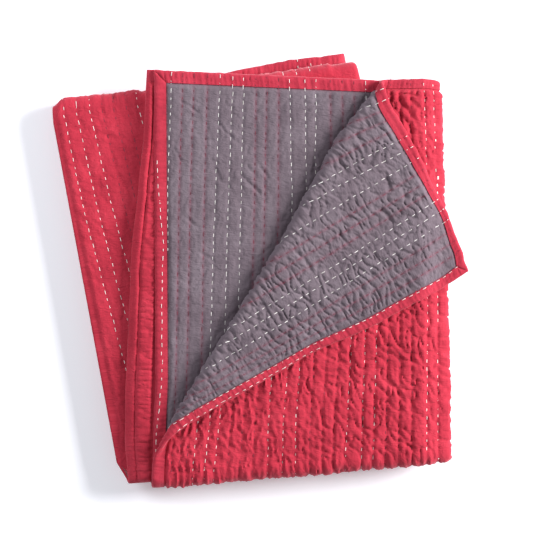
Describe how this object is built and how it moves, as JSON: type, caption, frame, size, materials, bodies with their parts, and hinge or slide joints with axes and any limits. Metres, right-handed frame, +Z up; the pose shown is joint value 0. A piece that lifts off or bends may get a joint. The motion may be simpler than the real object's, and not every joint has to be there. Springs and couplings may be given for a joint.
{
  "type": "folded kantha quilt",
  "caption": "Two-cloth kantha quilt with a red face, a grey back and red binding, folded into a flat bundle with one corner turned back to show the back.",
  "frame": {"origin": "middle of the bottom of the folded bundle's box, on the surface that it lies on", "axes": "+Z up out of the surface; +Y along the folded bundle towards the bound end of its top length; +X across it towards its quarter fold"},
  "size_m": [0.4598, 0.4806, 0.0578],
  "materials": {
    "face_cloth": "soft matt plain-woven cotton in red, puckered by the rows of running stitch",
    "back_cloth": "soft matt plain-woven cotton in warm grey, puckered by the rows of running stitch",
    "binding": "soft matt plain-woven cotton in red, folded over the edge and stitched down"
  },
  "bodies": {
    "root": {"face_cloth": "face_cloth", "back_cloth": "back_cloth", "binding_top_end": "binding", "binding_inner_side": "binding", "binding_floor_end": "binding", "binding_turned_side": "binding"}
  },
  "joints": []
}
